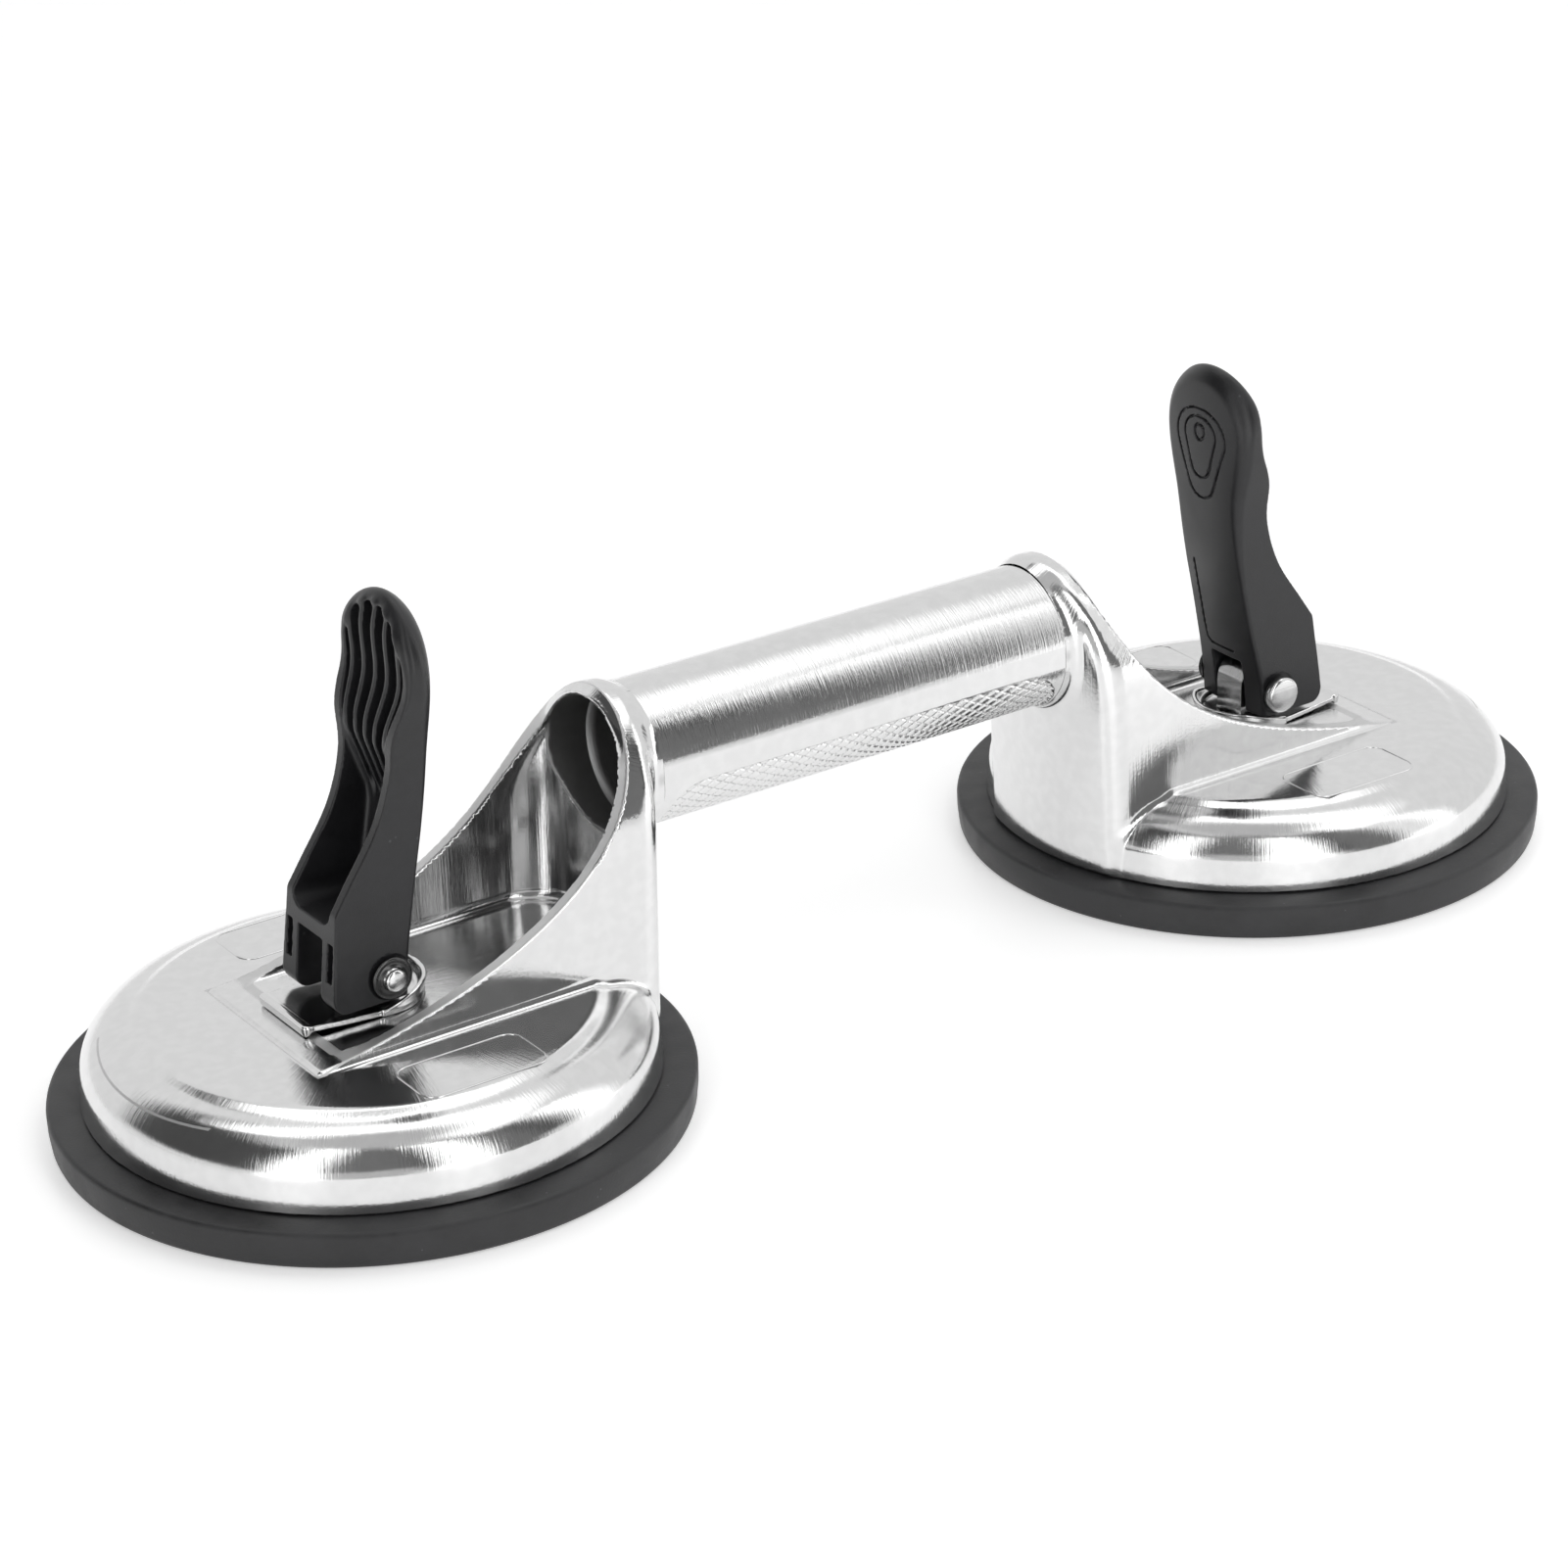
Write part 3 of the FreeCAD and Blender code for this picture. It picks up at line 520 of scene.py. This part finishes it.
def plate_field(x, y, z):
    """Saddle plate: round inner end with a turned-up rim, outer end folded down onto the scoop's sill."""
    level = PLATE_TOP + 0.7 * np.clip(x / PLATE_FRONT, 0, 1) ** 1.5
    half = 10.2 - 1.7 * np.clip(x / PLATE_FRONT, 0, 1)
    outline = meet(meet(norm(np.minimum(x, 0), y) - 10.2, np.abs(y) - half, 0.5), x - PLATE_FRONT, 0.8)
    sheet = meet(np.abs(z - level + 0.55) - 0.55, outline, 0.25)
    lip = meet(np.abs(x - PLATE_FRONT + 0.6) - 0.6, np.abs(z - PLATE_TOP + 0.3) - 0.95, 0.3)
    lip = meet(lip, np.abs(y) - half, 0.4)
    lift = 2.6 * np.clip((2.0 - x) / 9.0, 0, 1) ** 0.8
    flare = 0.25 * np.maximum(z - level, 0)
    rim = meet(np.abs(norm(np.minimum(x, 0), y) - 10.1 - flare) - 0.5, z - level - lift, 0.4)
    rim = meet(rim, meet(level - 1.0 - z, x - 2.0, 0.2), 0.2)
    return carve(join(join(sheet, lip, 0.8), rim, 0.8), norm(x, y) - 5.9, 0.3)


def plates():
    """Both wear plates from one mesh."""
    low = (-12.5, -12.5, PLATE_TOP - 3.0)
    high = (PLATE_FRONT + 1.0, 12.5, PLATE_TOP + 4.5)
    points, quads = surface(plate_field, low, high, PLATE_GRID)
    points, normals = settle(plate_field, points, 3)
    for side in SIDES:
        thing = mesh_object(side + "_saddle_plate", points, quads, normals, to_side(side))
        dress(thing, side + "_wear_plate", "frame", "plate")


def turned(profile, count=256):
    """Points and quads of a profile of (radius, height) swept round the cup's axis."""
    turn = np.linspace(0, 2 * math.pi, count + 1)[:-1]
    rows = [np.stack([r * np.cos(turn), r * np.sin(turn), np.full(count, h)], -1) for r, h in profile]
    return np.concatenate(rows), sheet_faces(len(profile), count, closed=True)


def pads():
    """Both rubber pads: a rounded rim, and a hollow on each face."""
    rim = PAD_RADIUS
    profile = [(0.01, 3.5), (39.5, 3.5), (40.0, 3.8), (40.0, 6.8), (40.2, PAD_TOP), (rim - 0.9, PAD_TOP),
               (rim - 0.45, PAD_TOP - 0.12), (rim - 0.12, PAD_TOP - 0.45), (rim, PAD_TOP - 1.0),
               (rim - 0.05, 3.5), (rim - 0.35, 0.9), (rim - 0.6, 0.3), (rim - 1.0, 0.05), (rim - 1.6, 0.0),
               (rim - 7.0, 0.0), (50.0, 1.0), (0.01, 1.0)]
    points, quads = turned(profile)
    for side in SIDES:
        thing = mesh_object(side + "_pad_rubber", points, quads[:, ::-1], None, to_side(side))
        dress(thing, side + "_rubber_pad", "frame", "rubber")


def pins():
    """Pivot pin with a flat head and a grooved, peened tail, and the cup washer that holds the tail."""
    head, tail = span("right_pivot_pin", 1)
    face = LEVER_HALF + 0.25
    pin = [(0.01, head + 0.15), (PIN_HEAD - 0.7, head + 0.15), (PIN_HEAD - 0.2, head + 0.3),
           (PIN_HEAD, head + 0.75), (PIN_HEAD, -face), (PIN_RADIUS, -face + 0.02), (PIN_RADIUS, face + 0.8),
           (PIN_RADIUS - 0.3, face + 0.95), (PIN_RADIUS - 0.3, face + 1.2), (PIN_RADIUS, face + 1.35),
           (PIN_RADIUS - 0.1, tail - 0.3), (PIN_RADIUS - 0.6, tail - 0.05), (0.01, tail)]
    cup = [(PIN_RADIUS + 0.1, face), (PIN_HEAD + 0.2, face), (PIN_HEAD + 0.25, face + 0.35),
           (PIN_HEAD, face + 0.55), (PIN_HEAD - 0.5, face + 0.5), (PIN_RADIUS + 0.55, face + 0.2),
           (PIN_RADIUS + 0.3, face + 0.75), (PIN_RADIUS + 0.1, face + 0.8), (PIN_RADIUS + 0.1, face)]
    lay_down = Matrix.Translation((0, 0, PIVOT * MM)) @ Matrix.Rotation(-math.pi / 2, 4, "X")
    pieces = (("pin", "pivot_pin", pin, "steel"), ("cup", "pin_washer", cup, "washer"))
    for side in SIDES:
        for name, node, profile, material in pieces:
            points, quads = turned(profile, 72)
            thing = mesh_object(f"{side}_dressed_{name}", points, quads, None, to_side(side) @ lay_down)
            dress(thing, f"{side}_{node}", f"{side}_lift", material)


# ---------------------------------------------------------------- materials

class Look:
    """A node tree with short ways to add nodes and sums."""

    def __init__(self, tree):
        self.tree = tree

    def node(self, kind, inputs=None, **settings):
        made = self.tree.nodes.new(kind)
        for key, value in settings.items():
            setattr(made, key, value)
        for key, value in (inputs or {}).items():
            if isinstance(value, bpy.types.NodeSocket):
                self.tree.links.new(value, made.inputs[key])
            else:
                made.inputs[key].default_value = value
        return made

    def math(self, operation, *values):
        return self.node("ShaderNodeMath", dict(enumerate(values)), operation=operation).outputs[0]

    def ramp(self, value, low, high, start=0.0, end=1.0):
        """Smooth change from start to end as value goes from low to high."""
        inputs = {"Value": value, "From Min": low, "From Max": high, "To Min": start, "To Max": end}
        return self.node("ShaderNodeMapRange", inputs, interpolation_type="SMOOTHSTEP").outputs[0]

    def band(self, value, low, high, soft):
        """One between low and high, nothing outside."""
        return self.math("MULTIPLY", self.ramp(value, low - soft, low + soft),
                         self.ramp(value, high - soft, high + soft, 1.0, 0.0))

    def blend(self, share, under, over):
        """Number that goes from under to over with share."""
        mix = self.node("ShaderNodeMix", {"Factor": share, "A": under, "B": over})
        return mix.outputs[0]

    def noise(self, vector, scale, detail=2.0, rough=0.5):
        inputs = {"Vector": vector, "Scale": scale, "Detail": detail, "Roughness": rough}
        return self.node("ShaderNodeTexNoise", inputs).outputs[0]


def new_look(name):
    """Material with its node tree at hand, laid out in the object's own coordinates."""
    material = bpy.data.materials.new(name)
    material.use_nodes = True
    look = Look(material.node_tree)
    look.shader = material.node_tree.nodes["Principled BSDF"]
    look.place = look.node("ShaderNodeTexCoord").outputs["Object"]
    return material, look


def set_inputs(look, **values):
    """Set or link inputs of the material's shader by name."""
    for key, value in values.items():
        socket = look.shader.inputs[key.replace("_", " ")]
        if isinstance(value, bpy.types.NodeSocket):
            look.tree.links.new(value, socket)
        else:
            socket.default_value = value


def metal(name, colour, roughness, streaks, strength, grain=0.35, painted_shade_and_matt=None):
    """Polished metal with fine streaks, laid out by streaks; the last argument says where it is matt and where
    painted shade darkens it.
    """
    material, look = new_look(name)
    along = streaks(look)
    fine = look.noise(along, 1.0, 3.0, 0.6)
    broad = look.noise(look.place, 60.0, 2.0)
    pits = look.noise(look.place, 1500.0, 2.0)
    height = look.math("ADD", fine, look.math("MULTIPLY", pits, grain))
    height = look.math("ADD", height, look.math("MULTIPLY", broad, 0.6))
    bump = look.node("ShaderNodeBump", {"Height": height, "Distance": 0.0003, "Strength": strength})
    rough = look.ramp(look.noise(look.place, 90.0, 3.0), 0.3, 0.7, roughness * 0.8, roughness * 1.25)
    shade = look.ramp(look.noise(look.place, 400.0, 3.0), 0.35, 0.7, 0.96, 1.0)
    if painted_shade_and_matt:
        matt, dark = painted_shade_and_matt(look)
        rough = look.blend(look.math("MAXIMUM", matt, dark), rough, 0.45)
        # Painted shade: the colour is darkened where the second mask says
        shade = look.math("MULTIPLY", shade, look.blend(dark, 1.0, 0.45))
    look.tree.links.new(colour_of(look, shade, colour), look.shader.inputs["Base Color"])
    set_inputs(look, Metallic=1.0, Roughness=rough, Normal=bump.outputs[0])
    return material


def millimetres(look):
    """The three coordinates of a place on the object, in millimetres."""
    parts = look.node("ShaderNodeSeparateXYZ", {"Vector": look.place}).outputs
    return [look.math("DIVIDE", part, MM) for part in parts]


def off_handle_axis(look, y, z):
    """Distance from the handle's axis."""
    up = look.math("SUBTRACT", z, HANDLE_AXIS)
    return look.math("SQRT", look.math("ADD", look.math("MULTIPLY", y, y), look.math("MULTIPLY", up, up)))


def machined_land_with_painted_shade(look):
    """On an end: the rim's flat land is matt; painted shade darkens the bore and, a little, the land's low
    front.
    """
    x, y, z = millimetres(look)
    along = look.math("MULTIPLY", look.math("SUBTRACT", x, z), math.sqrt(0.5))
    height = float(RIM.coeffs[0])
    for factor in RIM.coeffs[1:]:
        height = look.math("ADD", look.math("MULTIPLY", height, along), float(factor))
    off = look.math("SUBTRACT", look.math("MULTIPLY", look.math("ADD", x, z), math.sqrt(0.5)), height)
    inside = look.ramp(look.math("ABSOLUTE", y), SCOOP_HALF + 0.3, SCOOP_HALF + 0.5, 1.0, 0.0)
    matt = look.math("MULTIPLY", look.ramp(look.math("ABSOLUTE", off), 0.12, 0.2, 1.0, 0.0), inside)
    # Painted shade: the inside of the bore is darkened
    within = look.ramp(off_handle_axis(look, y, z), HANDLE_BORE + 0.65, HANDLE_BORE + 0.8, 1.0, 0.0)
    hole = look.math("MULTIPLY", within, look.ramp(x, BORE_END - 2, BORE_END - 1, 1.0, 0.0))
    # Painted shade: the land's low front is darker, fading out higher up
    band = look.math("MULTIPLY", matt, look.ramp(z, 26, 36, 0.3, 0.0))
    return matt, look.math("MAXIMUM", hole, band)


def cored_with_painted_shade(look):
    """On the handle: its inside is matt and darkened by painted shade."""
    x, y, z = millimetres(look)
    # Painted shade inside the hollow handle, also used as its matt share
    hole = look.ramp(off_handle_axis(look, y, z), HANDLE_BORE + 0.1, HANDLE_BORE + 0.3, 1.0, 0.0)
    return hole, hole


def colour_of(look, share, colour, under=(0, 0, 0)):
    """Colour that goes from under to colour with share."""
    mix = look.node("ShaderNodeMix", data_type="RGBA")
    colours = [socket for socket in mix.inputs if socket.type == "RGBA"]
    colours[0].default_value, colours[1].default_value = (*under, 1), (*colour, 1)
    look.tree.links.new(share, mix.inputs[0])
    return next(socket for socket in mix.outputs if socket.type == "RGBA")


def round_streaks(look):
    """Streaks that run outwards from the cup's axis and down its wall."""
    parts = look.node("ShaderNodeSeparateXYZ", {"Vector": look.place}).outputs
    angle = look.math("ARCTAN2", parts[1], parts[0])
    radius = look.math("SQRT", look.math("ADD", look.math("MULTIPLY", parts[0], parts[0]),
                                         look.math("MULTIPLY", parts[1], parts[1])))
    inputs = {0: look.math("MULTIPLY", angle, 130.0), 1: look.math("MULTIPLY", radius, 60.0),
              2: look.math("MULTIPLY", parts[2], 60.0)}
    return look.node("ShaderNodeCombineXYZ", inputs).outputs[0]


def bar_streaks(look):
    """Streaks that run round the handle."""
    scale = look.node("ShaderNodeVectorMath", {0: look.place, 1: (2600.0, 120.0, 120.0)}, operation="MULTIPLY")
    return scale.outputs[0]


def rolled_streaks(look):
    """Streaks along the lever's swing."""
    scale = look.node("ShaderNodeVectorMath", {0: look.place, 1: (60.0, 2500.0, 300.0)}, operation="MULTIPLY")
    return scale.outputs[0]


def soft_black(name, colour, low, high, grain, strength, specks):
    """Rubber or plastic: fine grain, uneven gloss, a few pale specks."""
    material, look = new_look(name)
    grit = look.noise(look.place, grain, 3.0, 0.6)
    bump = look.node("ShaderNodeBump", {"Height": grit, "Distance": 0.0002, "Strength": strength})
    wear = look.noise(look.place, 70.0, 4.0, 0.6)
    rough = look.ramp(wear, 0.35, 0.7, low, high)
    dots = look.node("ShaderNodeTexVoronoi", {"Vector": look.place, "Scale": specks}).outputs["Distance"]
    sparse = look.ramp(look.noise(look.place, specks * 0.21, 0.0), 0.62, 0.66)
    speck = look.math("MULTIPLY", look.ramp(dots, 0.05, 0.13, 1.0, 0.0), sparse)
    tone = look.ramp(wear, 0.3, 0.75, 0.0, 0.25)
    share = look.math("MAXIMUM", tone, look.math("MULTIPLY", speck, 0.8))
    set_inputs(look, Roughness=rough, Normal=bump.outputs[0])
    pale = tuple(min(0.30, part * 6) for part in colour)
    look.tree.links.new(colour_of(look, share, pale, colour), look.shader.inputs["Base Color"])
    return material


MATERIALS = {
    "casting": metal("cast aluminium", (0.76, 0.76, 0.76), 0.12, round_streaks, 0.10, painted_shade_and_matt=machined_land_with_painted_shade),
    "handle": metal("handle aluminium", (0.76, 0.76, 0.76), 0.12, bar_streaks, 0.12, painted_shade_and_matt=cored_with_painted_shade),
    "rubber": soft_black("rubber", (0.018, 0.018, 0.019), 0.42, 0.6, 2500.0, 0.25, 500.0),
    "plastic": soft_black("plastic", (0.009, 0.009, 0.010), 0.32, 0.44, 3500.0, 0.2, 300.0),
    "washer": metal("washer steel", (0.10, 0.10, 0.10), 0.25, rolled_streaks, 0.10),
    "plate": metal("plate steel", (0.74, 0.74, 0.74), 0.14, rolled_streaks, 0.06),
    "steel": metal("steel", (0.70, 0.70, 0.70), 0.2, rolled_streaks, 0.05),
}
casting()
levers()
plates()
pads()
pins()
for node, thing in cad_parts.items():
    for slot in thing.material_slots:
        slot.material = MATERIALS["steel"]

# ---------------------------------------------------------------- stage

def studio(look, facing):
    """Light by direction round the object: a pale backdrop, with dim and bright areas placed so that
    the metal reflects roughly what it does in the photograph."""
    parts = look.node("ShaderNodeSeparateXYZ", {"Vector": look.place}).outputs
    ahead = look.math("ADD", look.math("MULTIPLY", parts[0], math.cos(facing)),
                      look.math("MULTIPLY", parts[1], math.sin(facing)))
    beside = look.math("SUBTRACT", look.math("MULTIPLY", parts[1], math.cos(facing)),
                       look.math("MULTIPLY", parts[0], math.sin(facing)))
    turn = look.math("DEGREES", look.math("ARCTAN2", look.math("MULTIPLY", beside, -1.0),
                                          look.math("MULTIPLY", ahead, -1.0)))
    rise = look.math("DEGREES", look.math("ARCSINE", parts[2]))
    light = BACKDROP

    def patch(light, turns, rises, level, soft=4.0):
        share = look.math("MULTIPLY", look.band(turn, *turns, soft), look.band(rise, *rises, soft))
        return look.blend(share, light, level)

    # The dim area's left edge leans outwards as it rises
    climb = look.math("MAXIMUM", look.math("DIVIDE", rise, 52.0), 0.0)
    lean = look.math("MULTIPLY", look.math("POWER", climb, 3.0), 45.0)
    left = look.ramp(look.math("ADD", turn, lean), -107, -99)
    dark = look.math("MULTIPLY", left, look.ramp(turn, 79, 89, 1.0, 0.0))
    dark = look.math("MULTIPLY", dark, look.band(rise, 8, 66, 5.0))
    light = look.blend(dark, light, 0.08)
    light = patch(light, (-22, 20), (8, 80), 0.19)
    light = patch(light, (-22, 20), (-20, 18), 0.57)
    light = patch(light, (38, 71), (-4, 62), 0.19)
    light = patch(light, (-200, 200), (72, 120), 0.57, 6.0)
    light = patch(light, (-200, -118), (57, 74), 1.8, 4.0)
    light = patch(light, (64, 200), (57, 74), 1.8, 4.0)
    return light


BACKDROP = 0.87
FLOOR_REACH = 3.0  # metres
FLOOR_GLOW = 0.45
# Light panels standing on the floor, in millimetres: two ends of the foot, height, brightness
PANELS = (((-435, -293), (-411, -121), 1000, 1.8),
          ((-153.5, -438), (48, -586), 1070, 1.8),
          ((229, -275), (297, -159), 520, 0.89))
# The photograph's camera: place in millimetres, yaw, pitch and roll in degrees, lens and sensor in millimetres
CAMERA_PLACE = (-439.75, -649.05, 391.15)
CAMERA_TURN = (33.451, 24.358, -2.057)
CAMERA_LENS, CAMERA_SENSOR = 102.1, 36.0


def panel(name, start, end, height, level):
    """Flat area light on end, facing the object, that the camera doesn't see."""
    foot = Vector((end[0] - start[0], end[1] - start[1], 0)) * MM
    centre = Vector(((start[0] + end[0]) / 2, (start[1] + end[1]) / 2, height / 2)) * MM
    across = foot.normalized()
    facing = across.cross(Vector((0, 0, 1)))
    if facing.dot(centre) > 0:
        across, facing = -across, -facing
    lamp = bpy.data.lights.new(name, "AREA")
    lamp.shape = "RECTANGLE"
    lamp.size, lamp.size_y = foot.length, height * MM
    lamp.energy = level * math.pi * lamp.size * lamp.size_y
    thing = bpy.data.objects.new(name, lamp)
    thing.matrix_world = Matrix.Translation(centre) @ Matrix((across, (0, 0, 1), -facing)).transposed().to_4x4()
    thing.visible_camera = False
    bpy.context.scene.collection.objects.link(thing)


def put_camera(yaw, pitch, roll):
    """Camera at the photograph's place and angle."""
    scene = bpy.context.scene
    camera_data = bpy.data.cameras.new("camera")
    camera_data.lens = CAMERA_LENS
    camera_data.sensor_width = CAMERA_SENSOR
    camera = bpy.data.objects.new("camera", camera_data)
    scene.collection.objects.link(camera)
    scene.camera = camera
    camera.matrix_world = (Matrix.Translation(Vector(CAMERA_PLACE) * MM)
                           @ Matrix.Rotation(-yaw, 4, "Z") @ Matrix.Rotation(math.pi / 2 - pitch, 4, "X")
                           @ Matrix.Rotation(roll, 4, "Z"))


def put_world(facing):
    """White to the camera, the studio's light to everything else."""
    world = bpy.data.worlds.new("studio")
    bpy.context.scene.world = world
    world.use_nodes = True
    look = Look(world.node_tree)
    look.place = look.node("ShaderNodeTexCoord").outputs["Generated"]
    seen = look.node("ShaderNodeLightPath").outputs["Is Camera Ray"]
    level = look.blend(seen, studio(look, facing), 1.0)
    background = world.node_tree.nodes["Background"]
    background.inputs["Color"].default_value = (1, 1, 1, 1)
    world.node_tree.links.new(level, background.inputs["Strength"])


def put_floor():
    """Pale floor. Its glow is seen by the camera and in reflections, and lights nothing."""
    mesh = bpy.data.meshes.new("floor")
    reach = FLOOR_REACH
    mesh.from_pydata([(-reach, -reach, 0), (reach, -reach, 0), (reach, reach, 0), (-reach, reach, 0)], [],
                     [(0, 1, 2, 3)])
    floor = bpy.data.objects.new("floor", mesh)
    floor.location.z = -0.0002
    bpy.context.scene.collection.objects.link(floor)
    material, look = new_look("pale floor")
    shade = look.ramp(look.noise(look.place, 3.0), 0.3, 0.7, 0.97, 1.0)
    look.tree.links.new(colour_of(look, shade, (0.82, 0.82, 0.82)), look.shader.inputs["Base Color"])
    rays = look.node("ShaderNodeLightPath").outputs
    seen = look.math("MAXIMUM", rays["Is Camera Ray"], rays["Is Glossy Ray"])
    seen = look.math("MAXIMUM", seen, rays["Is Transmission Ray"])
    glow = look.math("MULTIPLY", seen, FLOOR_GLOW)
    set_inputs(look, Roughness=0.4, Emission_Color=(1, 1, 1, 1), Emission_Strength=glow)
    mesh.materials.append(material)


def stage_scene():
    """Camera, light panels, world and floor."""
    bpy.context.scene.view_settings.view_transform = "Standard"
    yaw, pitch, roll = (math.radians(angle) for angle in CAMERA_TURN)
    put_camera(yaw, pitch, roll)
    for number, card in enumerate(PANELS):
        panel(f"panel_{number}", *card)
    put_world(math.pi / 2 - yaw)
    put_floor()


stage_scene()
